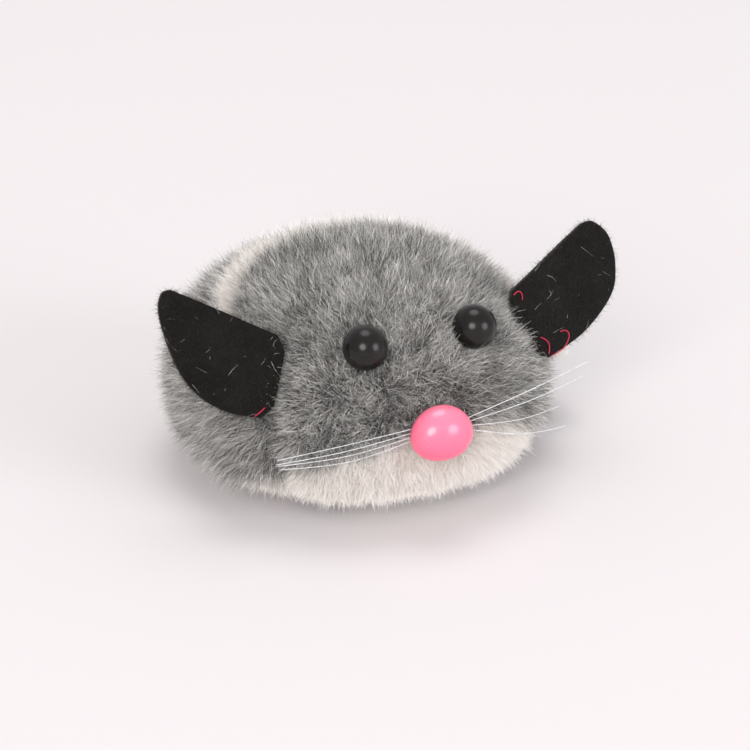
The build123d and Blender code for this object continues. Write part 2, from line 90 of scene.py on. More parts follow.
EYE_RADIUS = 3.85
EYE_SUNK = 0.9                          # the fixing draws each bead back into the pile
EYES = {"left": np.array([10.4, -23.9, 33.4]), "right": np.array([-10.4, -23.9, 33.4])}
NOSE = np.array([0.0, -31.8, 18.6])
NOSE_RADII = (5.6, 4.0, 4.8)
EAR_TOP, EAR_LOW, EAR_TIP = (22.2, -13.8, 33.5), (27.3, -18.3, 21.4), (40.8, -8.8, 42.3)
EAR_EDGE = {     # cut by hand, so the two differ: (outwards, down) from the top of the root
    "left": [(18.6, -2.7), (20.4, -2.0), (21.6, 1.7), (19.8, 7.2), (16.4, 11.0), (8.5, 13.7), (0.0, 13.6)],
    "right": [(19.6, -3.6), (21.0, -2.4), (20.3, 1.5), (15.6, 9.0), (11.0, 12.8), (5.5, 14.4), (0.0, 14.2)],
}
EAR_TUCK = 1.8                          # how far the felt goes into the seam
WHISKER_TIPS = {
    "left": [(29.5, -28.5, 24.6), (29.0, -28.0, 21.8), (25.0, -27.0, 16.4), (26.5, -27.0, 12.3)],
    "right": [(-27.6, -26.0, 16.6), (-27.9, -26.3, 16.0), (-27.4, -25.8, 15.4), (-27.1, -26.0, 14.8)],
}


def lump(points, shape):
    """How far out points are in a lump: under 1 inside it, 1 on its surface."""
    (yc, zc), (rx, ry, up, down) = shape["middle"], shape["radii"]
    plan, side = shape["plan"], shape["side"]
    level = (np.abs(points[..., 0]) / rx) ** plan + (np.abs(points[..., 1] - yc) / ry) ** plan
    height = points[..., 2] - zc
    rise = np.abs(height) / np.where(height > 0, up, down)
    return (level ** (side / plan) + rise**side) ** (1 / side)


def cover_value(points, floor):
    """Under 1 inside the joined lumps, and over 1 under the flattened belly."""
    both = np.exp(-BLEND * lump(points, BODY)) + np.exp(-BLEND * lump(points, HEAD))
    joined = -np.log(both) / BLEND
    flat = 1 + (floor - points[..., 2]) / 12.0
    return np.log(np.exp(30 * joined) + np.exp(30 * flat)) / 30


def cover_points(directions, inset, floor):
    """Where rays from the core leave the cover, moved in by an inset."""
    near, far = np.zeros(len(directions)), np.full(len(directions), 60.0)
    for _ in range(34):
        middle = (near + far) / 2
        inside = cover_value(CORE + directions * middle[:, None], floor) < 1
        near, far = np.where(inside, middle, near), np.where(inside, far, middle)
    points = CORE + directions * near[:, None]
    pull = FURROW_DEPTH * seam_pull(points)
    return points - cover_normals(points, floor) * (inset + pull)[:, None]


def seam_pull(points):
    """How strongly the head seam draws the cloth in: 1 on the seam, less over the crown."""
    off = points[:, 1] - along_line(HEAD_SEAM, points[:, 2], 1)
    return np.exp(-((off / FURROW_HALF) ** 2)) * (1 - 0.75 * smooth_step(points[:, 2], 24.0, 34.0))


def cover_normals(points, floor):
    """Outward directions of the cover, by differences."""
    step, slopes = 0.05, []
    for axis in np.eye(3):
        rise = cover_value(points + axis * step, floor) - cover_value(points - axis * step, floor)
        slopes.append(rise)
    normals = np.stack(slopes, -1)
    return normals / np.linalg.norm(normals, axis=-1, keepdims=True)


def along_line(line, value, across):
    """Reads a seam line: the other coordinate at a value of one."""
    a = np.array(line)
    order = np.argsort(a[:, across])
    return np.interp(value, a[order, across], a[order, 1 - across])


def panel_of(points):
    """The name of the panel that each point of the cover belongs to."""
    y, z = points[:, 1], points[:, 2]
    lift = z - STRIPE_SLOPE * y
    names = np.where(lift > STRIPE_LOW, "stripe", "rump")
    names = np.where(lift > STRIPE_TOP, "crown", names)
    names = np.where(y < along_line(HEAD_SEAM, z, 1), "head", names)
    return np.where(z < along_line(BELLY_SEAM, y, 0), "belly", names)


# ------------------------------------------------------------------ mesh helpers
def put(name, data):
    """A new object in the scene."""
    obj = bpy.data.objects.new(name, data)
    bpy.context.scene.collection.objects.link(obj)
    return obj


def new_object(name, verts, faces, material=None, smooth=True):
    """A mesh object from points in millimetres."""
    mesh = bpy.data.meshes.new(name)
    mesh.from_pydata([tuple(v) for v in np.asarray(verts, float) * MM], [], [tuple(f) for f in faces])
    mesh.validate()
    if smooth:
        mesh.shade_smooth()
    obj = put(name, mesh)
    if material is not None:
        mesh.materials.append(material)
    return obj


def outwards(obj):
    """Merges doubles and turns every face outwards."""
    bm = bmesh.new()
    bm.from_mesh(obj.data)
    bmesh.ops.remove_doubles(bm, verts=bm.verts, dist=1e-7)
    bmesh.ops.recalc_face_normals(bm, faces=bm.faces)
    bm.to_mesh(obj.data)
    bm.free()
    return obj


def baked(obj, name, material=None):
    """A plain mesh object with the first one's modifiers applied. The first one goes."""
    bpy.context.view_layer.update()
    evaluated = obj.evaluated_get(bpy.context.evaluated_depsgraph_get())
    mesh = bpy.data.meshes.new_from_object(evaluated)
    bpy.data.objects.remove(obj)
    if not mesh.polygons:
        raise RuntimeError(f"{name} has no faces")
    mesh.name = name
    result = put(name, mesh)
    if material is not None:
        mesh.materials.clear()
        mesh.materials.append(material)
    return result


def modifier(obj, kind, **settings):
    made = obj.modifiers.new(kind.title(), kind)
    for key, value in settings.items():
        setattr(made, key, value)
    return made


def lathe(profile, steps=48):
    """Points and faces of a solid of revolution about +Z from (radius, height) pairs."""
    verts, faces = [], []
    for r, z in profile:
        for k in range(steps):
            turn = 2 * math.pi * k / steps
            verts.append((r * math.cos(turn), r * math.sin(turn), z))
    for i in range(len(profile) - 1):
        for k in range(steps):
            a, b = i * steps + k, i * steps + (k + 1) % steps
            faces.append((a, b, b + steps, a + steps))
    return np.array(verts), faces


def basis(normal, hint=(0.0, 0.0, 1.0)):
    """Three unit columns: sideways, upwards, and the normal."""
    n = np.array(normal, float) / np.linalg.norm(normal)
    side = np.cross(hint, n)
    side /= np.linalg.norm(side)
    return np.stack([side, np.cross(n, side), n], 1)


def tube(name, path, radius, material, taper=1.0, resolution=3):
    """A smooth round strand along points in millimetres, as a mesh with round ends."""
    curve = bpy.data.curves.new(name, "CURVE")
    curve.dimensions = "3D"
    curve.bevel_depth = radius * MM
    curve.bevel_resolution = resolution
    curve.use_fill_caps = True
    spline = curve.splines.new("NURBS")
    spline.points.add(len(path) - 1)
    for k, place in enumerate(path):
        spline.points[k].co = (*(c * MM for c in place), 1.0)
        spline.points[k].radius = 1.0 + (taper - 1.0) * k / (len(path) - 1)
    spline.order_u = 3
    spline.use_endpoint_u = True
    obj = put(name, curve)
    made = baked(obj, name, material)
    made.data.shade_smooth()
    return made


def joined(name, objects):
    """One object from several, whose places are in their meshes."""
    bm = bmesh.new()
    materials = []
    for obj in objects:
        for material in obj.data.materials:
            if material not in materials:
                materials.append(material)
        start = len(bm.faces)
        bm.from_mesh(obj.data)
        bm.faces.ensure_lookup_table()
        for face in bm.faces[start:]:
            face.material_index = materials.index(obj.data.materials[face.material_index])
        bpy.data.objects.remove(obj)
    mesh = bpy.data.meshes.new(name)
    bm.to_mesh(mesh)
    bm.free()
    for material in materials:
        mesh.materials.append(material)
    result = put(name, mesh)
    return result


# ------------------------------------------------------------------ shader helpers
USUAL = (0.3, 0.7)      # the range that most noise falls in


class Nodes:
    """Adds nodes to a tree and joins them."""

    def __init__(self, tree):
        self.tree = tree

    def add(self, kind, inputs=None, **settings):
        node = self.tree.nodes.new(kind)
        for key, value in settings.items():
            setattr(node, key, value)
        for key, value in (inputs or {}).items():
            socket = node.inputs[key]
            if isinstance(value, bpy.types.NodeSocket):
                self.tree.links.new(value, socket)
            else:
                socket.default_value = value
        return node

    def where(self):
        return self.add("ShaderNodeTexCoord").outputs["Object"]

    def noise(self, place, scale, detail, output=0, **more):
        inputs = {"Vector": place, "Scale": scale, "Detail": detail, **more}
        return self.add("ShaderNodeTexNoise", inputs).outputs[output]

    def feed(self, shader, **values):
        """Joins outputs to a shader's sockets."""
        for label, value in values.items():
            self.tree.links.new(value, shader.inputs[label.replace("_", " ")])

    def math(self, operation, a, b=0.0):
        return self.add("ShaderNodeMath", {0: a, 1: b}, operation=operation).outputs[0]

    def vmath(self, operation, a, b):
        return self.add("ShaderNodeVectorMath", {0: a, 1: b}, operation=operation).outputs[0]

    def scaled(self, vector, factor):
        node = self.add("ShaderNodeVectorMath", {0: vector, "Scale": factor}, operation="SCALE")
        return node.outputs[0]

    def mix(self, factor, a, b):
        """A colour mix."""
        node = self.add("ShaderNodeMix", {"Factor": factor}, data_type="RGBA")
        for socket, value in ((node.inputs[6], a), (node.inputs[7], b)):
            if isinstance(value, bpy.types.NodeSocket):
                self.tree.links.new(value, socket)
            else:
                socket.default_value = (*value[:3], 1.0)
        return node.outputs[2]

    def spread(self, value, low, high, to_low=0.0, to_high=1.0):
        """Maps a range of a value to another range, clamped."""
        return self.add(
            "ShaderNodeMapRange",
            {"Value": value, "From Min": low, "From Max": high, "To Min": to_low, "To Max": to_high},
        ).outputs[0]


def shader_group(name, inputs, outputs, build):
    """A shader group with float or colour sockets, made once."""
    if name in bpy.data.node_groups:
        return bpy.data.node_groups[name]
    tree = bpy.data.node_groups.new(name, "ShaderNodeTree")
    for label, kind, value in inputs:
        socket = tree.interface.new_socket(label, in_out="INPUT", socket_type=kind)
        socket.default_value = value
    for label, kind in outputs:
        tree.interface.new_socket(label, in_out="OUTPUT", socket_type=kind)
    entry, leave = tree.nodes.new("NodeGroupInput"), tree.nodes.new("NodeGroupOutput")
    nodes = Nodes(tree)
    for label, value in build(nodes, entry.outputs).items():
        tree.links.new(value, leave.inputs[label])
    return tree


def build_grain(n, given):
    where = n.where()
    fine = n.noise(where, given["Scale"], 3.0)
    broad_scale = n.math("MULTIPLY", given["Scale"], 0.11)
    broad = n.noise(where, broad_scale, 2.0)
    return {"Grain": fine, "Mottle": broad}


def grain_group():
    """Fine grain and broad mottle over a moulded, rolled or cast surface."""
    return shader_group(
        "Surface Grain",
        [("Scale", "NodeSocketFloat", 3000.0)],
        [("Grain", "NodeSocketFloat"), ("Mottle", "NodeSocketFloat")],
        build_grain,
    )


def build_lint(n, given):
    where = n.where()
    bent = n.noise(where, 260.0, 1.0, 1)
    pushed = n.vmath("ADD", where, n.scaled(bent, 0.002))
    cells = n.add("ShaderNodeTexVoronoi", {"Vector": pushed, "Scale": given["Scale"]})
    speck = n.spread(cells.outputs["Distance"], 0.02, 0.09, 1.0, 0.0)
    draw = n.add("ShaderNodeSeparateColor", {0: cells.outputs["Color"]}).outputs[0]
    chosen = n.math("GREATER_THAN", draw, given["Sparse"])
    return {"Lint": n.math("MULTIPLY", speck, chosen)}


def lint_group():
    """Small pale specks that cling to cloth and soft plastic."""
    return shader_group(
        "Lint Specks",
        [("Scale", "NodeSocketFloat", 900.0), ("Sparse", "NodeSocketFloat", 0.9)],
        [("Lint", "NodeSocketFloat")],
        build_lint,
    )


def material(name, **sockets):
    """A Principled material with plain socket values. Returns it, its nodes and its shader."""
    made = bpy.data.materials.new(name)
    made.use_nodes = True
    tree = made.node_tree
    tree.nodes.clear()
    nodes = Nodes(tree)
    shader = nodes.add("ShaderNodeBsdfPrincipled")
    leave = nodes.add("ShaderNodeOutputMaterial")
    nodes.feed(leave, Surface=shader.outputs[0])
    for label, value in sockets.items():
        shader.inputs[label.replace("_", " ")].default_value = value
    return made, nodes, shader


def use_group(nodes, tree, **inputs):
    node = nodes.add("ShaderNodeGroup", node_tree=tree)
    for label, value in inputs.items():
        node.inputs[label].default_value = value
    return node.outputs


def bump(nodes, shader, height, strength, distance):
    made = nodes.add("ShaderNodeBump", {"Height": height, "Strength": strength, "Distance": distance})
    nodes.feed(shader, Normal=made.outputs[0])


# ------------------------------------------------------------------ materials
def pile_fibre(name, dark, middle, light, painted_root_shade):
    """Dyed fibres: each has its own tint, and all carry painted shade that darkens them towards the root,
    deep in the pile.
    """
    made, n, shader = material(name, Roughness=0.62, Specular_IOR_Level=0.22)
    tint = n.add("ShaderNodeAttribute", attribute_name="tint").outputs["Fac"]
    along = n.add("ShaderNodeAttribute", attribute_name="along").outputs["Fac"]
    where = n.where()
    patch = n.noise(where, 190.0, 2.0)
    shifted = n.math("ADD", tint, n.spread(patch, *USUAL, -0.14, 0.14))
    colour = n.mix(n.spread(shifted, 0.14, 0.34), dark, middle)
    colour = n.mix(n.spread(shifted, 0.66, 0.86), colour, light)
    # painted shade: each fibre's colour is multiplied darker from its tip down to its root
    shade = n.mix(n.spread(along, 0.0, 0.75), painted_root_shade, (1.0, 1.0, 1.0))
    product = n.add("ShaderNodeMix", {"Factor": 1.0, 6: colour, 7: shade}, data_type="RGBA",
                    blend_type="MULTIPLY").outputs[2]
    n.feed(shader, Base_Color=product)
    return made


def backing_cloth(name, dark, light):
    """Knitted backing with the dense feet of the pile."""
    made, n, shader = material(name, Roughness=0.9, Specular_IOR_Level=0.1)
    where = n.where()
    feet = n.add("ShaderNodeTexVoronoi", {"Vector": where, "Scale": 1900.0}).outputs["Distance"]
    patch = n.noise(where, 420.0, 3.0)
    factor = n.math("MULTIPLY", n.spread(feet, 0.1, 0.7), n.spread(patch, *USUAL, 0.5, 1.0))
    n.feed(shader, Base_Color=n.mix(factor, light, dark))
    bump(n, shader, feet, 0.6, 0.0004)
    return made


def felt(name):
    """Black needled felt: matted fibres and a little caught lint."""
    made, n, shader = material(name, Roughness=0.95, Specular_IOR_Level=0.08, Sheen_Weight=0.12,
                               Sheen_Roughness=0.5)
    where = n.where()
    matted = n.noise(where, 1500.0, 5.0, Distortion=1.5)
    cloud = n.noise(where, 240.0, 2.0)
    black = n.mix(n.math("MULTIPLY", matted, cloud), (0.0045, 0.004, 0.0035), (0.024, 0.021, 0.018))
    specks = use_group(n, lint_group(), Scale=620.0, Sparse=0.93)["Lint"]
    n.feed(shader, Base_Color=n.mix(n.math("MULTIPLY", specks, 0.35), black, (0.30, 0.29, 0.30)))
    bump(n, shader, matted, 0.8, 0.00035)
    return made


def nap_fibre(name, low, high):
    """Loose felt fibres, each a little lighter or darker."""
    made, n, shader = material(name, Roughness=0.8, Specular_IOR_Level=0.15)
    tint = n.add("ShaderNodeAttribute", attribute_name="tint").outputs["Fac"]
    n.feed(shader, Base_Color=n.mix(tint, low, high))
    return made


def moulded(name, colour, roughness=0.45, grain=3000.0, depth=0.00004, coat=0.0, mottle=0.06):
    """Injection-moulded plastic with a faint grain and mottle."""
    made, n, shader = material(name, Coat_Weight=coat, Coat_Roughness=0.08)
    grains = use_group(n, grain_group(), Scale=grain)
    darker = tuple(c * (1 - mottle) for c in colour)
    n.feed(shader, Base_Color=n.mix(n.spread(grains["Mottle"], *USUAL), darker, colour),
           Roughness=n.spread(grains["Mottle"], *USUAL, roughness * 0.85, roughness * 1.15))
    bump(n, shader, grains["Grain"], 0.25, depth)
    return made


def polished_bead(name):
    """Black glossy plastic with faint handling marks and dust."""
    made, n, shader = material(name, Coat_Weight=0.12, Coat_Roughness=0.1, IOR=1.45,
                               Specular_IOR_Level=0.26)
    grains = use_group(n, grain_group(), Scale=2400.0)
    dust = use_group(n, lint_group(), Scale=1500.0, Sparse=0.95)["Lint"]
    black = n.mix(grains["Mottle"], (0.005, 0.004, 0.004), (0.014, 0.012, 0.011))
    handled = n.spread(grains["Mottle"], *USUAL, 0.2, 0.3)
    n.feed(shader, Base_Color=n.mix(n.math("MULTIPLY", dust, 0.25), black, (0.3, 0.3, 0.3)),
           Roughness=n.math("ADD", handled, n.math("MULTIPLY", dust, 0.4)))
    bump(n, shader, grains["Mottle"], 0.06, 0.0001)
    return made


def pink_gloss(name):
    """Pink moulded plastic with painted shade: deeper low down and lighter on top, with a soft gloss."""
    made, n, shader = material(name, Coat_Weight=0.35, Coat_Roughness=0.12, Subsurface_Weight=0.12,
                               Subsurface_Scale=0.002)
    where = n.where()
    height = n.add("ShaderNodeSeparateXYZ", {0: where}).outputs[2]
    grains = use_group(n, grain_group(), Scale=2600.0)
    low, high = (NOSE[2] - NOSE_RADII[2]) * MM, (NOSE[2] + NOSE_RADII[2]) * MM
    # painted shade and light: the pink is darker at the bottom of the nose and lighter at its top
    colour = n.mix(n.spread(height, low, high), (0.95, 0.11, 0.22), (1.0, 0.22, 0.34))
    colour = n.mix(n.spread(grains["Mottle"], *USUAL, 0.0, 0.14), colour, (0.86, 0.09, 0.22))
    n.feed(shader, Base_Color=colour, Roughness=n.spread(grains["Mottle"], *USUAL, 0.26, 0.36))
    bump(n, shader, grains["Grain"], 0.10, 0.00006)
    return made


def nylon(name):
    """Clear drawn bristle with cloudy stretches."""
    made, n, shader = material(name, Transmission_Weight=0.35, IOR=1.53)
    grains = use_group(n, grain_group(), Scale=2500.0)
    n.feed(shader, Base_Color=n.mix(grains["Mottle"], (0.80, 0.80, 0.82), (0.97, 0.97, 1.0)),
           Roughness=n.spread(grains["Mottle"], *USUAL, 0.18, 0.36))
    return made


def metal(name, colour, roughness=0.32, grain=1800.0):
    """Drawn or stamped metal with a fine brushed look."""
    made, n, shader = material(name, Metallic=1.0)
    grains = use_group(n, grain_group(), Scale=grain)
    darker = tuple(c * 0.72 for c in colour)
    n.feed(shader, Base_Color=n.mix(grains["Mottle"], darker, colour),
           Roughness=n.spread(grains["Grain"], *USUAL, roughness * 0.7, roughness * 1.4))
    bump(n, shader, grains["Grain"], 0.2, 0.00003)
    return made


def rubber(name):
    """Dull black rubber with grey dust in its grip."""
    made, n, shader = material(name, Specular_IOR_Level=0.3)
    grains = use_group(n, grain_group(), Scale=2200.0)
    colour = n.mix(n.spread(grains["Mottle"], 0.45, 0.75), (0.018, 0.018, 0.019), (0.075, 0.072, 0.07))
    n.feed(shader, Base_Color=colour, Roughness=n.spread(grains["Grain"], *USUAL, 0.6, 0.85))
    bump(n, shader, grains["Grain"], 0.4, 0.00008)
    return made


def paper_floor(name):
    """The pale sweep that the mouse stands on."""
    made, n, shader = material(name, Roughness=0.75, Specular_IOR_Level=0.2)
    grains = use_group(n, grain_group(), Scale=40.0)
    n.feed(shader, Base_Color=n.mix(grains["Mottle"], (0.735, 0.698, 0.706), (0.755, 0.718, 0.726)))
    return made


# ------------------------------------------------------------------ the pile, in geometry nodes
def pile_tree():
    """Fibres over a surface, combed along its comb attribute.

    The surface carries pile (share of full length), cover (share of full density)
    and comb (a vector that the fibres lean along).
    """
    name = "Pile Fibres"
    if name in bpy.data.node_groups:
        return bpy.data.node_groups[name]
    tree = bpy.data.node_groups.new(name, "GeometryNodeTree")
    wanted = [
        ("Geometry", "NodeSocketGeometry", None), ("Density", "NodeSocketFloat", 20e6),
        ("Length", "NodeSocketFloat", 0.0045), ("Width", "NodeSocketFloat", 0.00012),
        ("Lean", "NodeSocketFloat", 0.36), ("Clump", "NodeSocketFloat", 2.1),
        ("Clump Size", "NodeSocketFloat", 0.0026), ("Mess", "NodeSocketFloat", 0.7),
        ("Bend", "NodeSocketFloat", 0.0015), ("Sag", "NodeSocketFloat", 0.0003),
        ("Seed", "NodeSocketInt", 1), ("Material", "NodeSocketMaterial", None),
    ]
    for label, kind, value in wanted:
        socket = tree.interface.new_socket(label, in_out="INPUT", socket_type=kind)
        if value is not None:
            socket.default_value = value
    tree.interface.new_socket("Geometry", in_out="OUTPUT", socket_type="NodeSocketGeometry")
    given = tree.nodes.new("NodeGroupInput").outputs
    n = Nodes(tree)

    def named(label, kind="FLOAT"):
        node = n.add("GeometryNodeInputNamedAttribute", {"Name": label}, data_type=kind)
        return node.outputs["Attribute"]

    def chance(low, high, offset, kind="FLOAT"):
        seed = n.math("ADD", given["Seed"], float(offset))
        node = n.add("FunctionNodeRandomValue", {"Seed": seed}, data_type=kind)
        first, second = (0, 1) if kind == "FLOAT_VECTOR" else (2, 3)
        node.inputs[first].default_value, node.inputs[second].default_value = low, high
        return node.outputs[0] if kind == "FLOAT_VECTOR" else node.outputs[1]

    def tumbled(offset):
        return chance((-1.0, -1.0, -1.0), (1.0, 1.0, 1.0), offset, "FLOAT_VECTOR")

    def store(geometry, label, value, domain, kind="FLOAT"):
        node = n.add("GeometryNodeStoreNamedAttribute", {"Geometry": geometry, "Name": label},
                     data_type=kind, domain=domain)
        tree.links.new(value, node.inputs["Value"])
        return node.outputs[0]

    spread = n.math("MULTIPLY", given["Density"], named("cover"))
    points = n.add("GeometryNodeDistributePointsOnFaces",
                   {"Mesh": given["Geometry"], "Density": spread, "Seed": given["Seed"]},
                   distribute_method="RANDOM")
    place = n.add("GeometryNodeInputPosition").outputs[0]
    scale = n.math("DIVIDE", 1.0, given["Clump Size"])
    swirl = n.noise(place, scale, 2.0, 1)
    swirl = n.vmath("SUBTRACT", swirl, (0.5, 0.5, 0.5))
    way = n.vmath("ADD", points.outputs["Normal"], n.scaled(named("comb", "FLOAT_VECTOR"), given["Lean"]))
    way = n.vmath("ADD", way, n.scaled(swirl, given["Clump"]))
    loose = tumbled(3)
    way = n.vmath("ADD", way, n.scaled(loose, given["Mess"]))
    turned = n.add("FunctionNodeAlignRotationToVector", {"Vector": way}, axis="Z").outputs[0]
    roll = tumbled(7)
    turned = n.add("FunctionNodeAlignRotationToVector", {"Rotation": turned, "Vector": roll},
                   axis="X", pivot_axis="Z").outputs[0]

    blade = n.add("GeometryNodeMeshGrid",
                  {"Size X": 1.0, "Size Y": 1.0, "Vertices X": 2, "Vertices Y": 3}).outputs[0]
    split = n.add("ShaderNodeSeparateXYZ", {0: place}).outputs
    along = n.math("ADD", split[1], 0.5)
    blade = store(blade, "along", along, "POINT")
    narrow = n.math("SUBTRACT", 1.0, n.math("MULTIPLY", n.math("POWER", named("along"), 1.5), 0.85))
    wide = n.math("MULTIPLY", n.math("MULTIPLY", split[0], given["Width"]), narrow)
    stood = n.add("ShaderNodeCombineXYZ", {0: wide, 2: n.math("MULTIPLY", named("along"), given["Length"])})
    blade = n.add("GeometryNodeSetPosition", {"Geometry": blade, "Position": stood.outputs[0]}).outputs[0]

    tall = n.math("MULTIPLY", named("pile"), chance(0.72, 1.12, 11))
    size = n.add("ShaderNodeCombineXYZ", {0: 1.0, 1: 1.0, 2: tall}).outputs[0]
    fibres = n.add("GeometryNodeInstanceOnPoints", {"Points": points.outputs[0], "Instance": blade,
                                                    "Rotation": turned, "Scale": size}).outputs[0]
    curl = tumbled(17)
    curl = n.scaled(n.vmath("ADD", curl, n.scaled(swirl, 1.6)), given["Bend"])
    drop = n.add("ShaderNodeCombineXYZ", {2: n.math("MULTIPLY", given["Sag"], -1.0)}).outputs[0]
    curl = n.scaled(n.vmath("ADD", curl, drop), tall)
    fibres = store(fibres, "curl", curl, "INSTANCE", "FLOAT_VECTOR")
    fibres = store(fibres, "tint", chance(0.0, 1.0, 23), "INSTANCE")
    real = n.add("GeometryNodeRealizeInstances", {"Geometry": fibres}).outputs[0]
    bent = n.scaled(named("curl", "FLOAT_VECTOR"), n.math("POWER", named("along"), 2.0))
    real = n.add("GeometryNodeSetPosition", {"Geometry": real, "Offset": bent}).outputs[0]
    for unused in ("curl", "comb", "pile", "cover"):
        real = n.add("GeometryNodeRemoveAttribute", {"Geometry": real, "Name": unused}).outputs[0]
    leave = tree.nodes.new("NodeGroupOutput")
    last = n.add("GeometryNodeSetMaterial", {"Geometry": real, "Material": given["Material"]}).outputs[0]
    tree.links.new(last, leave.inputs[0])
    return tree


def grow(base, name, fibre, **values):
    """Grows fibres on a base object and returns them as a plain mesh."""
    emitter = base.copy()
    emitter.data = base.data.copy()
    bpy.context.scene.collection.objects.link(emitter)
    made = emitter.modifiers.new("Pile", "NODES")
    made.node_group = pile_tree()
    sockets = {item.name: item.identifier for item in made.node_group.interface.items_tree
               if item.in_out == "INPUT"}
    for label, value in {**values, "Material": fibre}.items():
        made[sockets[label.replace("_", " ")]] = value
    return baked(emitter, name, fibre)


def set_attributes(obj, **fields):
    """Stores float or vector values on an object's points."""
    for label, values in fields.items():
        kind, key = ("FLOAT_VECTOR", "vector") if values.ndim == 2 else ("FLOAT", "value")
        layer = obj.data.attributes.new(label, kind, "POINT")
        layer.data.foreach_set(key, np.ascontiguousarray(values, np.float32).ravel())


# ------------------------------------------------------------------ settings
class MousePileSettings(bpy.types.PropertyGroup):
    density: FloatProperty(name="Density", description="Fibres on each square millimetre", default=38.0,
                           min=1.0, max=60.0)
    length: FloatProperty(name="Length", description="Full length of a fibre", default=0.0036,
                          unit="LENGTH")
    width: FloatProperty(name="Width", description="Width of a fibre at its foot", default=0.000095,
                         unit="LENGTH")
    undercoat: FloatProperty(name="Undercoat Depth", description="Depth of the backing under the tips",
                             default=0.0034, unit="LENGTH")
    grey_dark: FloatVectorProperty(name="Dark Fibre", description="Darkest grey fibre", size=3,
                                   default=(0.03, 0.029, 0.028), subtype="COLOR")
    grey_middle: FloatVectorProperty(name="Middle Fibre", description="Usual grey fibre", size=3,
                                     default=(0.45, 0.44, 0.42), subtype="COLOR")
    grey_light: FloatVectorProperty(name="Light Fibre", description="Lightest grey fibre", size=3,
                                    default=(0.99, 0.97, 0.94), subtype="COLOR")
    white: FloatVectorProperty(name="White Fibre", description="White fibre", size=3,
                               default=(0.955, 0.915, 0.88), subtype="COLOR")
    seed: IntProperty(name="Seed", description="Starts every random draw of the pile", default=5)


class MouseFaceSettings(bpy.types.PropertyGroup):
    whisker_radius: FloatProperty(name="Whisker Radius", description="Half the thickness of a bristle",
                                  default=0.000075, unit="LENGTH")
    felt_thickness: FloatProperty(name="Felt Thickness", description="Thickness of the ear felt",
                                  default=0.0014, unit="LENGTH")


class MouseStageSettings(bpy.types.PropertyGroup):
    distance: FloatProperty(name="Camera Distance", description="From the camera to its target",
                            default=0.5, unit="LENGTH")
    azimuth: FloatProperty(name="Azimuth", description="Camera's turn from straight ahead",
                           default=math.radians(-25), subtype="ANGLE")
    elevation: FloatProperty(name="Elevation", description="Camera's height angle",
                             default=math.radians(25), subtype="ANGLE")
    target: FloatVectorProperty(name="Target", description="The point that the camera looks at", size=3,
                                default=(0.00606, 0.0077, 0.01143), subtype="TRANSLATION")
    lens: FloatProperty(name="Lens", description="Focal length of the camera", default=132.0,
                        unit="CAMERA")


# ------------------------------------------------------------------ cover and pile
def sphere_grid():
    """Directions on rings from straight up to straight down, without the poles' rings."""
    directions = []
    for i in range(1, ROWS):
        tilt = math.pi * i / ROWS
        for j in range(COLUMNS):
            turn = 2 * math.pi * (j + 0.5) / COLUMNS
            ring = math.sin(tilt)
            directions.append((ring * math.cos(turn), ring * math.sin(turn), math.cos(tilt)))
    directions += [(0, 0, 1), (0, 0, -1)]
    return np.array(directions)


def grid_faces():
    rings = ROWS - 1
    top, bottom = rings * COLUMNS, rings * COLUMNS + 1
    faces = []
    for j in range(COLUMNS):
        k = (j + 1) % COLUMNS
        faces.append((top, j, k))
        faces.append((bottom, (rings - 1) * COLUMNS + k, (rings - 1) * COLUMNS + j))
        for i in range(rings - 1):
            a, b = i * COLUMNS, (i + 1) * COLUMNS
            faces.append((a + j, b + j, b + k, a + k))
    return faces


def smooth_step(value, low, high):
    t = np.clip((value - low) / (high - low), 0, 1)
    return t * t * (3 - 2 * t)


def openings_mask(points):
    """1 on the cloth, 0 where a wheel, the roller or the key comes through."""
    mask = np.ones(len(points))
    under = points[:, 2] < 4.0
    for node in ("left_tyre", "right_tyre", "rear_roller"):
        low, high = corners(node)
        inside = np.all((points[:, :2] > low[:2] - WHEEL_GAP) & (points[:, :2] < high[:2] + WHEEL_GAP), 1)
        mask[inside & under] = 0
    low, high = corners("key_eyelet")
    reach = np.linalg.norm(points[:, 1:] - (low + high)[1:] / 2, axis=1)
    mask[(reach < KEY_OPENING) & (points[:, 0] > 20)] = 0
    return mask


def pile_fields(points, normals):
    """How long, how dense and which way the pile is at each point of the cover."""
    length = np.ones(len(points))
    for place in EYES.values():
        length *= 0.55 + 0.45 * smooth_step(np.linalg.norm(points - place, axis=1), 3.0, 7.5)
    length *= 0.35 + 0.65 * smooth_step(np.linalg.norm(points - NOSE, axis=1), 5.0, 10.5)
    length *= 1 - 0.25 * seam_pull(points)
    length *= 0.4 + 0.6 * smooth_step(points[:, 2], 3.0, 8.5)
    dense = openings_mask(points)
    dense[normals[:, 2] < -0.7] *= 0.35
    for place in EYES.values():
        dense *= np.linalg.norm(points - place, axis=1) > EYE_BARE
    dense *= np.linalg.norm((points - NOSE) * (0.75, 1.0, 1.0), axis=1) > NOSE_BARE
    away = points - NOSE
    back = np.stack([0.25 * points[:, 0] / 30, np.ones(len(points)), -0.75 + 0 * points[:, 0]], 1)
    face = 1 - smooth_step(points[:, 1], -22.0, -8.0)
    comb = away / np.linalg.norm(away, axis=1, keepdims=True) * face[:, None] + back * (1 - face)[:, None]
    comb -= normals * np.sum(comb * normals, 1, keepdims=True)
    comb /= np.linalg.norm(comb, axis=1, keepdims=True) + 1e-6
    return length, dense, comb


def patch(name, verts, faces, chosen, fields, cloth):
    """The part of the cover whose faces are chosen, with its pile fields."""
    picked = [face for face, keep in zip(faces, chosen) if keep]
    used = sorted({v for face in picked for v in face})
    index = {v: k for k, v in enumerate(used)}
    obj = new_object(name, verts[used], [[index[v] for v in face] for face in picked], cloth)
    length, dense, comb = fields
    set_attributes(obj, pile=length[used], cover=dense[used], comb=comb[used])
    return obj


def everywhere(c):
    return np.ones(len(c), bool)


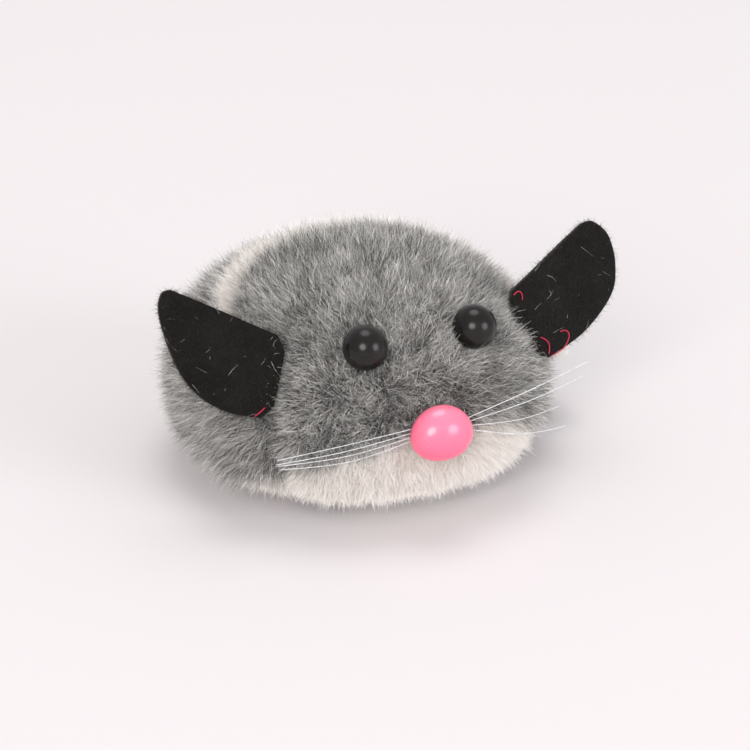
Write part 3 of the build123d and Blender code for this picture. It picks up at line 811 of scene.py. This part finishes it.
# Pieces of pile: name, panel, which part of the panel, colour, share of full density and length
PILE_PIECES = [
    ("left_cheek_pile", "head", lambda c: c[:, 0] > 0, "grey", 1.0, 1.0),
    ("right_cheek_pile", "head", lambda c: c[:, 0] <= 0, "grey", 1.0, 1.0),
    ("crown_pile", "crown", everywhere, "grey", 1.0, 1.0),
    ("stripe_pile", "stripe", everywhere, "white", 1.3, 1.0),
    ("left_flank_pile", "rump", lambda c: (c[:, 0] > 0) & (c[:, 1] < 16), "grey", 0.9, 1.0),
    ("right_flank_pile", "rump", lambda c: (c[:, 0] <= 0) & (c[:, 1] < 16), "grey", 1.0, 1.0),
    ("rump_pile", "rump", lambda c: c[:, 1] >= 16, "grey", 0.62, 1.0),
    ("chin_pile", "belly", lambda c: (c[:, 1] < -8) & (c[:, 2] > 4), "white", 1.1, 0.72),
    ("belly_pile", "belly", lambda c: (c[:, 1] >= -8) | (c[:, 2] <= 4), "white", 0.6, 0.9),
]
PANEL_NODES = {"head": "head_panel", "crown": "crown_panel", "stripe": "stripe_panel",
               "rump": "rump_panel", "belly": "belly_panel"}


class MOUSE_OT_cover(bpy.types.Operator):
    """Make the sewn panels and grow their pile"""

    bl_idname = "mouse.cover"
    bl_label = "Cover and Pile"

    def execute(self, context):
        pile = context.scene.mouse_pile
        white = tuple(pile.white)
        cloths = {"grey": backing_cloth("Grey Backing", (0.03, 0.032, 0.035), (0.12, 0.125, 0.13)),
                  "white": backing_cloth("White Backing", (0.72, 0.69, 0.65), (0.93, 0.90, 0.86))}
        # the last colour given to each pile is the painted shade at its fibres' roots
        fibres = {
            "grey": pile_fibre("Grey Pile", tuple(pile.grey_dark), tuple(pile.grey_middle),
                               tuple(pile.grey_light), (0.40, 0.40, 0.40)),
            "white": pile_fibre("White Pile", tuple(c * 0.94 for c in white), white, white,
                                (0.97, 0.95, 0.93)),
        }
        directions = sphere_grid()
        floor = pile.undercoat / MM * 0.55
        verts = cover_points(directions, pile.undercoat / MM, floor)
        normals = cover_normals(verts, floor)
        faces = grid_faces()
        middles = np.array([verts[list(face)].mean(0) for face in faces])
        outer = np.array([verts[face[0]] + normals[face[0]] * pile.undercoat / MM for face in faces])
        panels = panel_of(outer)
        fields = pile_fields(verts, normals)
        open_cloth = openings_mask(middles) > 0
        for panel, node in PANEL_NODES.items():
            tone = "white" if panel in ("stripe", "belly") else "grey"
            skin = patch(panel + "_cloth", verts, faces, (panels == panel) & open_cloth, fields, cloths[tone])
            modifier(skin, "SOLIDIFY", thickness=0.0011, offset=-1.0)
            skin = baked(skin, panel + "_cloth")
            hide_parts(node)
            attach(skin, "root")
        for k, (name, panel, part, tone, thick, tall) in enumerate(PILE_PIECES):
            chosen = (panels == panel) & open_cloth & part(middles)
            base = patch(name + "_base", verts, faces, chosen, fields, cloths[tone])
            grown = grow(base, name, fibres[tone], Density=pile.density * thick * 1e6,
                         Length=pile.length * tall, Width=pile.width, Seed=pile.seed + k)
            bpy.data.objects.remove(base)
            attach(grown, "root")
        return {"FINISHED"}


# ------------------------------------------------------------------ wadding
class MOUSE_OT_wadding(bpy.types.Operator):
    """Make the loose fibre filling around the motor"""

    bl_idname = "mouse.wadding"
    bl_label = "Wadding"

    def execute(self, context):
        fluff, n, shader = material("Wadding Fibre", Roughness=0.9, Specular_IOR_Level=0.1)
        where = n.where()
        strands = n.noise(where, 700.0, 6.0, Distortion=3.0)
        pale = n.mix(n.spread(strands, *USUAL), (0.62, 0.62, 0.61), (0.93, 0.93, 0.92))
        n.feed(shader, Base_Color=pale)
        bump(n, shader, strands, 0.8, 0.0006)
        lumps = bpy.data.textures.new("Wadding Lumps", "CLOUDS")
        lumps.noise_scale = 0.006
        for node, name in (("head_stuffing", "head_wadding"), ("body_wadding", "body_fluff")):
            copy = put(name, frame["nodes"][node].data.copy())
            outwards(copy)
            modifier(copy, "REMESH", mode="VOXEL", voxel_size=0.0009)
            modifier(copy, "SMOOTH", iterations=4, factor=0.5)
            modifier(copy, "DISPLACE", texture=lumps, strength=0.0008, mid_level=0.9)
            made = baked(copy, name, fluff)
            made.data.shade_smooth()
            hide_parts(node)
            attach(made, "root")
        return {"FINISHED"}


# ------------------------------------------------------------------ ears
def catmull(points, steps):
    """A smooth line through points."""
    p = [np.array(q, float) for q in [points[0], *points, points[-1]]]
    line = []
    for i in range(1, len(p) - 2):
        for t in np.linspace(0, 1, steps, endpoint=False):
            a, b, c, d = p[i - 1: i + 3]
            line.append(0.5 * (2 * b + (c - a) * t + (2 * a - 5 * b + 4 * c - d) * t**2
                               + (3 * b - a - 3 * c + d) * t**3))
    return line + [p[-2]]


def ear_axes(sign):
    """Top of the root, and unit vectors outwards, down and across the felt."""
    top, low, tip = (np.array([sign * p[0], p[1], p[2]]) for p in (EAR_TOP, EAR_LOW, EAR_TIP))
    down = (low - top) / np.linalg.norm(low - top)
    out = (tip - top) - down * np.dot(tip - top, down)
    out /= np.linalg.norm(out)
    return top, out, down, np.cross(out, down)


def ear_outline(side):
    """Edge of one ear in its own plane, from the root's foot round the tip to the root's top."""
    edge = EAR_EDGE[side]
    tip, foot = edge[0], edge[-1]
    top_edge = [(tip[0] * k / 20, tip[1] * k / 20) for k in range(19, -1, -1)]
    tuck = [(-EAR_TUCK, 2.4), (-EAR_TUCK, foot[1] - 2.4)]
    return [tuple(q) for q in catmull(edge, 7)[::-1]] + top_edge + tuck


def ear_sheet(name, side, sign, thickness, surface):
    """A felt ear with a slight curl, filled by a fine grid and thickened."""
    top, out, down, across = ear_axes(sign)
    bm = bmesh.new()
    ring = [bm.verts.new((u, v, 0)) for u, v in ear_outline(side)]
    bm.faces.new(ring)
    for axis, low, high in ((0, -3.0, 22.0), (1, -4.0, 15.0)):
        for cut in np.arange(low + 0.5, high, 0.75):
            place, normal = Vector((0, 0, 0)), Vector((0, 0, 0))
            place[axis], normal[axis] = cut, 1.0
            bmesh.ops.bisect_plane(bm, geom=bm.verts[:] + bm.edges[:] + bm.faces[:], plane_co=place,
                                   plane_no=normal)
    flat = np.array([v.co[:] for v in bm.verts])
    lean = -sign if np.dot(across, (0, 1, 0)) > 0 else sign
    u, v = flat[:, 0], flat[:, 1]
    curl = 0.9 * (u / 21) ** 2 * np.clip(1 - np.abs(v - 5) / 9, 0, 1) + 0.35 * np.sin(u * 0.33 + v * 0.21)
    placed = top + out * u[:, None] + down * v[:, None] + across * (lean * 0.6 * curl * (u > 0))[:, None]
    for vert, spot in zip(bm.verts, placed * MM):
        vert.co = spot
    bmesh.ops.remove_doubles(bm, verts=bm.verts, dist=1e-6)
    mesh = bpy.data.meshes.new(name)
    bm.to_mesh(mesh)
    bm.free()
    mesh.materials.append(surface)
    sheet = put(name, mesh)
    modifier(sheet, "SOLIDIFY", thickness=thickness, offset=0.0)
    modifier(sheet, "BEVEL", width=0.0002, segments=2, limit_method="ANGLE", angle_limit=math.radians(50))
    made = outwards(baked(sheet, name))
    made.data.shade_smooth()
    return made


# Loose ends of sewing thread at each ear's root: (outwards, down, forwards) of their points
THREADS = {
    "left": [[(-0.4, 0.6, 1.0), (0.5, 0.2, 1.3), (1.2, 1.3, 1.2), (0.6, 2.2, 1.0)],
             [(0.2, 9.6, 1.2), (1.0, 10.6, 1.5), (0.9, 12.0, 1.4), (0.1, 13.0, 1.2)],
             [(0.6, 13.6, 1.0), (2.4, 13.9, 1.2), (4.2, 13.4, 1.2), (5.6, 12.2, 1.3), (5.2, 11.0, 1.2),
              (4.2, 10.9, 1.1)]],
    "right": [[(-0.2, 12.4, 0.9), (0.5, 13.4, 1.1), (1.3, 14.2, 0.9)]],
}


def loose_thread(name, side, sign, thread):
    """Ends of the sewing thread that show where an ear goes into the seam."""
    top, out, down, across = ear_axes(sign)
    ahead = across if across[1] < 0 else -across
    strands = []
    for k, points in enumerate(THREADS[side]):
        path = [top + out * u + down * v + ahead * w for u, v, w in points]
        strands.append(tube(f"{name}_{k}", path, 0.09, thread))
    return joined(name, strands)


class MOUSE_OT_ears(bpy.types.Operator):
    """Make the two felt ears with their nap and stitches"""

    bl_idname = "mouse.ears"
    bl_label = "Ears"

    def execute(self, context):
        face = context.scene.mouse_face
        surface, nap = felt("Black Felt"), nap_fibre("Felt Nap", (0.004, 0.0035, 0.003), (0.04, 0.035, 0.03))
        lint = nap_fibre("Caught Lint", (0.30, 0.29, 0.30), (0.62, 0.60, 0.60))
        thread = moulded("Pink Thread", (0.55, 0.012, 0.055), roughness=0.6, grain=5000.0)
        for side, sign in (("left", 1), ("right", -1)):
            name = side + "_ear"
            ear = ear_sheet(name + "_felt", side, sign, face.felt_thickness, surface)
            count = len(ear.data.vertices)
            even = np.ones(count)
            none = np.zeros((count, 3))
            set_attributes(ear, pile=even, cover=even, comb=none)
            fuzz = grow(ear, name + "_nap", nap, Density=9e6, Length=0.0009, Width=0.00005, Lean=0.0,
                        Clump=1.6, Clump_Size=0.002, Mess=1.3, Bend=0.0005, Sag=0.0, Seed=31 + sign)
            specks = grow(ear, name + "_lint", lint, Density=0.1e6, Length=0.0019, Width=0.00006, Lean=0.0,
                          Clump=2.0, Clump_Size=0.003, Mess=2.5, Bend=0.0008, Sag=0.0, Seed=77 + sign)
            for label in ("pile", "cover", "comb"):
                ear.data.attributes.remove(ear.data.attributes[label])
            sewn = loose_thread(name + "_thread", side, sign, thread)
            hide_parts(name)
            for piece in (ear, fuzz, specks, sewn):
                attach(piece, "root")
        return {"FINISHED"}


# ------------------------------------------------------------------ face
def placed(name, verts, faces, origin, axes, surface):
    """A shape about its own axes, put in its place on the face."""
    verts = np.asarray(verts) @ axes.T + origin
    return outwards(new_object(name, verts, faces, surface))


class MOUSE_OT_eyes(bpy.types.Operator):
    """Make the two bead eyes on their stems"""

    bl_idname = "mouse.eyes"
    bl_label = "Eyes"

    def execute(self, context):
        bead = polished_bead("Black Bead")
        turns = np.radians(np.linspace(-37, 90, 34))
        profile = [(0.0, -7.9), (1.1, -7.9), (1.1, -3.2), (1.5, -2.75), (3.0, -2.6)]
        profile += [(EYE_RADIUS * math.cos(t), EYE_RADIUS * math.sin(t)) for t in turns]
        verts, faces = lathe(profile, 64)
        for side, place in EYES.items():
            normal = cover_normals(place[None], 0.6)[0]
            spot = place - normal * EYE_SUNK
            eye = placed(side + "_bead", verts, faces, spot, basis(normal), bead)
            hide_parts(side + "_eye")
            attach(eye, "root")
        return {"FINISHED"}


class MOUSE_OT_nose(bpy.types.Operator):
    """Make the pink nose on its stem"""

    bl_idname = "mouse.nose"
    bl_label = "Nose"

    def execute(self, context):
        surface = pink_gloss("Pink Nose")
        rx, ry, rz = NOSE_RADII
        turns = np.linspace(-0.45, math.pi / 2, 30)
        profile = [(0.0, -6.9), (1.1, -6.9), (1.1, -2.3), (3.2, -1.9)]
        verts, faces = lathe([(r, z) for r, z in profile] + [(math.cos(t), math.sin(t)) for t in turns], 72)
        body = np.arange(len(verts)) >= len(profile) * 72
        verts[body] *= (rx, rz, ry)
        height = verts[:, 1] / rz
        verts[body, 0] *= 1 - 0.07 * height[body]
        nose = placed("pink_nose", verts, faces, NOSE, basis((0.0, -1.0, 0.12)), surface)
        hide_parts("nose")
        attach(nose, "root")
        return {"FINISHED"}


class MOUSE_OT_whiskers(bpy.types.Operator):
    """Make the bristle whiskers beside the nose"""

    bl_idname = "mouse.whiskers"
    bl_label = "Whiskers"

    def execute(self, context):
        bristle = nylon("Whisker Nylon")
        radius = context.scene.mouse_face.whisker_radius / MM
        for side, sign in (("left", 1), ("right", -1)):
            strands = []
            for k, tip in enumerate(WHISKER_TIPS[side]):
                start = np.array([sign * 5.4, -31.0, 20.0 - 0.75 * k])
                end = np.array(tip)
                bow = np.array([0.0, -1.2 - 0.25 * k, 0.5 - 0.3 * k])
                path = [start, start * 0.7 + end * 0.3 + bow * 0.8, start * 0.35 + end * 0.65 + bow, end]
                strands.append(tube(f"{side}_whisker_{k}", path, radius, bristle, taper=0.8))
            whiskers = joined(side + "_bristles", strands)
            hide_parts(side + "_whiskers")
            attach(whiskers, "root")
        return {"FINISHED"}


# ------------------------------------------------------------------ motor and running gear
def motor_surfaces():
    """One finish for each of the record's slots that the motor's nodes use."""
    return {
        "washer_plastic": moulded("Washer Plastic", (0.80, 0.80, 0.77)),
        "eyelet_plastic": moulded("Eyelet Plastic", (0.03, 0.03, 0.033), roughness=0.4),
        "case_plastic": moulded("Case Plastic", (0.74, 0.74, 0.69), roughness=0.5, depth=0.00008),
        "gear_nylon": moulded("Gear Nylon", (0.86, 0.86, 0.80), roughness=0.42),
        "wheel_plastic": moulded("Wheel Plastic", (0.55, 0.03, 0.025), roughness=0.35),
        "roller_plastic": moulded("Roller Plastic", (0.03, 0.03, 0.033), roughness=0.42),
        "key_plastic": moulded("Key Plastic", (0.72, 0.70, 0.66), roughness=0.28, coat=0.25),
        "screw_steel": metal("Screw Steel", (0.62, 0.62, 0.61), 0.3),
        "shaft_steel": metal("Shaft Steel", (0.58, 0.58, 0.59), 0.24),
        "spring_steel": metal("Spring Steel", (0.22, 0.24, 0.30), 0.3),
        "gear_brass": metal("Gear Brass", (0.72, 0.50, 0.20), 0.3),
        "tyre_rubber": rubber("Tyre Rubber"),
    }


class MOUSE_OT_motor(bpy.types.Operator):
    """Give the motor, wheels, roller and key their finishes"""

    bl_idname = "mouse.motor"
    bl_label = "Motor and Wheels"

    def execute(self, context):
        surfaces = motor_surfaces()
        finished = 0
        for entry in frame["record"]["subparts"]:
            surface = surfaces.get(entry["material_slot"])
            node = frame["nodes"][entry["node"]]
            if surface is not None and not node.hide_render:
                node.data.materials.clear()
                node.data.materials.append(surface)
                finished += 1
        if not finished:
            raise RuntimeError("No motor node took a finish")
        return {"FINISHED"}


# ------------------------------------------------------------------ stage
def area_light(name, place, aim, size, power, colour):
    lamp = bpy.data.lights.new(name, "AREA")
    lamp.shape = "DISK"
    lamp.size = size
    lamp.energy = power
    lamp.color = colour
    obj = bpy.data.objects.new(name, lamp)
    obj.location = place
    obj.rotation_euler = (Vector(place) - Vector(aim)).to_track_quat("Z", "Y").to_euler()
    bpy.context.scene.collection.objects.link(obj)


LIGHTS = [     # name, place, size, power and colour
    ("key_light", (-1.3, -1.6, 1.1), 1.2, 32.0, (1.0, 0.985, 0.97)),
    ("fill_light", (1.2, -1.9, 0.7), 1.2, 22.0, (0.97, 0.98, 1.0)),
    ("top_light", (0.2, 0.5, 2.3), 1.4, 18.0, (1.0, 1.0, 1.0)),
]


class MOUSE_OT_stage(bpy.types.Operator):
    """Set the pale sweep, the soft lights and the camera"""

    bl_idname = "mouse.stage"
    bl_label = "Stage"

    def execute(self, context):
        settings = context.scene.mouse_stage
        half = 3000.0
        floor = new_object("sweep", [(-half, -half, 0), (half, -half, 0), (half, half, 0), (-half, half, 0)],
                           [(0, 1, 2, 3)], paper_floor("Pale Sweep"), smooth=False)
        world = bpy.data.worlds.new("Soft Room")
        world.use_nodes = True
        world.node_tree.nodes["Background"].inputs[0].default_value = (0.96, 0.95, 0.96, 1.0)
        world.node_tree.nodes["Background"].inputs[1].default_value = 0.65
        context.scene.world = world
        context.scene.view_settings.view_transform = "Standard"
        aim = (0.0, 0.0, 0.02)
        for name, place, size, power, colour in LIGHTS:
            area_light(name, place, aim, size, power, colour)
        turn, lift = settings.azimuth, settings.elevation
        back = Vector((math.sin(turn) * math.cos(lift), -math.cos(turn) * math.cos(lift), math.sin(lift)))
        camera = bpy.data.cameras.new("camera")
        camera.sensor_width = 36.0
        camera.lens = settings.lens
        camera.clip_start, camera.clip_end = 0.01, 20.0
        obj = bpy.data.objects.new("camera", camera)
        obj.location = Vector(settings.target) + back * settings.distance
        obj.rotation_euler = back.to_track_quat("Z", "Y").to_euler()
        context.scene.collection.objects.link(obj)
        context.scene.camera = obj
        return {"FINISHED"}


STEPS = ["cover", "wadding", "ears", "eyes", "nose", "whiskers", "motor", "stage"]


class MOUSE_PT_panel(bpy.types.Panel):
    bl_label = "Clockwork Mouse"
    bl_idname = "MOUSE_PT_panel"
    bl_space_type = "VIEW_3D"
    bl_region_type = "UI"
    bl_category = "Mouse"

    def draw(self, context):
        for step in STEPS:
            self.layout.operator(f"mouse.{step}")


CLASSES = [
    MousePileSettings, MouseFaceSettings, MouseStageSettings, MOUSE_OT_cover, MOUSE_OT_wadding,
    MOUSE_OT_ears, MOUSE_OT_eyes, MOUSE_OT_nose, MOUSE_OT_whiskers, MOUSE_OT_motor, MOUSE_OT_stage,
    MOUSE_PT_panel,
]


def register():
    for cls in CLASSES:
        bpy.utils.register_class(cls)
    bpy.types.Scene.mouse_pile = PointerProperty(type=MousePileSettings)
    bpy.types.Scene.mouse_face = PointerProperty(type=MouseFaceSettings)
    bpy.types.Scene.mouse_stage = PointerProperty(type=MouseStageSettings)


def unregister():
    del bpy.types.Scene.mouse_pile
    del bpy.types.Scene.mouse_face
    del bpy.types.Scene.mouse_stage
    for cls in reversed(CLASSES):
        bpy.utils.unregister_class(cls)


def main():
    register()
    for step in STEPS:
        getattr(bpy.ops.mouse, step)()


if __name__ == "__main__":
    main()
